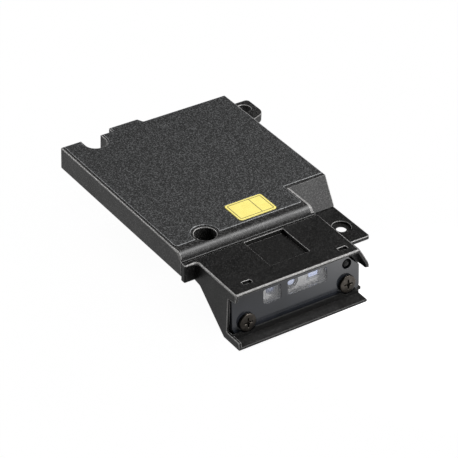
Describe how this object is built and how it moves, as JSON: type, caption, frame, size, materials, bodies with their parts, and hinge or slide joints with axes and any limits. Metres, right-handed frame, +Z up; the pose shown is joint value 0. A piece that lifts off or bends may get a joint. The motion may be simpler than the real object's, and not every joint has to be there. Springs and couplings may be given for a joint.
{
  "type": "optical scanner module",
  "caption": "Flat cast scanner module with a window hood at the front, a textured top sheet, fixing ears and a notch, and the scan engine and boards inside.",
  "frame": {"origin": "centre of the bounding box's footprint, on the plane of the hood's underside", "axes": "+X right along the front edge, +Y from the scan window to the rear edge, +Z up out of the textured top face"},
  "size_m": [0.0644, 0.0866, 0.0189],
  "materials": {
    "cast_cover": "fine textured black paint",
    "textured_film": "coarse grain",
    "cast_hood": "fine satin black paint",
    "label": "printed film",
    "window": "polished",
    "mask": "printed film",
    "dark_steel": "dark zinc plated",
    "steel": "plated",
    "brass": "machined",
    "circuit_board": "solder mask",
    "black_plastic": "moulded",
    "ivory_plastic": "moulded",
    "lens_glass": "polished",
    "flex_film": "polyimide film",
    "thermal_pad": "soft",
    "foam": "closed cell foam"
  },
  "bodies": {
    "module": {"top_cover": "cast_cover", "textured_sheet": "textured_film", "yellow_label": "label", "lower_tray": "cast_hood", "scanner_hood": "cast_hood", "window_plate": "window", "window_mask": "mask", "window_screw_left": "dark_steel", "window_screw_right": "dark_steel", "threaded_insert_left": "brass", "threaded_insert_right": "brass", "locating_pin": "cast_hood", "engine_chassis": "black_plastic", "lens_barrel": "black_plastic", "imaging_lens": "lens_glass", "aimer_lens": "lens_glass", "led_body": "ivory_plastic", "led_lens": "lens_glass", "image_sensor": "black_plastic", "engine_board": "circuit_board", "engine_screw_left": "steel", "engine_screw_right": "steel", "engine_cushion": "foam", "engine_flex": "flex_film", "flex_connector": "ivory_plastic", "main_board": "circuit_board", "processor_chip": "black_plastic", "memory_chip": "black_plastic", "shield_can": "steel", "thermal_pad": "thermal_pad", "power_inductor": "black_plastic", "clock_crystal": "steel", "insulating_sheet": "foam", "docking_connector": "black_plastic", "board_screw_1": "steel", "board_screw_2": "steel", "board_screw_3": "steel", "board_screw_4": "steel", "tray_screw_1": "dark_steel", "tray_screw_2": "dark_steel", "tray_screw_3": "dark_steel", "tray_screw_4": "dark_steel", "hood_screw_left": "steel", "hood_screw_right": "steel"},
    "latch": {"flex_latch": "black_plastic"}
  },
  "joints": [
    {"name": "flex_latch_hinge", "type": "hinge", "parent": "module", "child": "latch", "pos_m": [-0.0062, -0.00677, 0.01597], "axis": [1, 0, 0], "range_deg": [0, 90]}
  ]
}
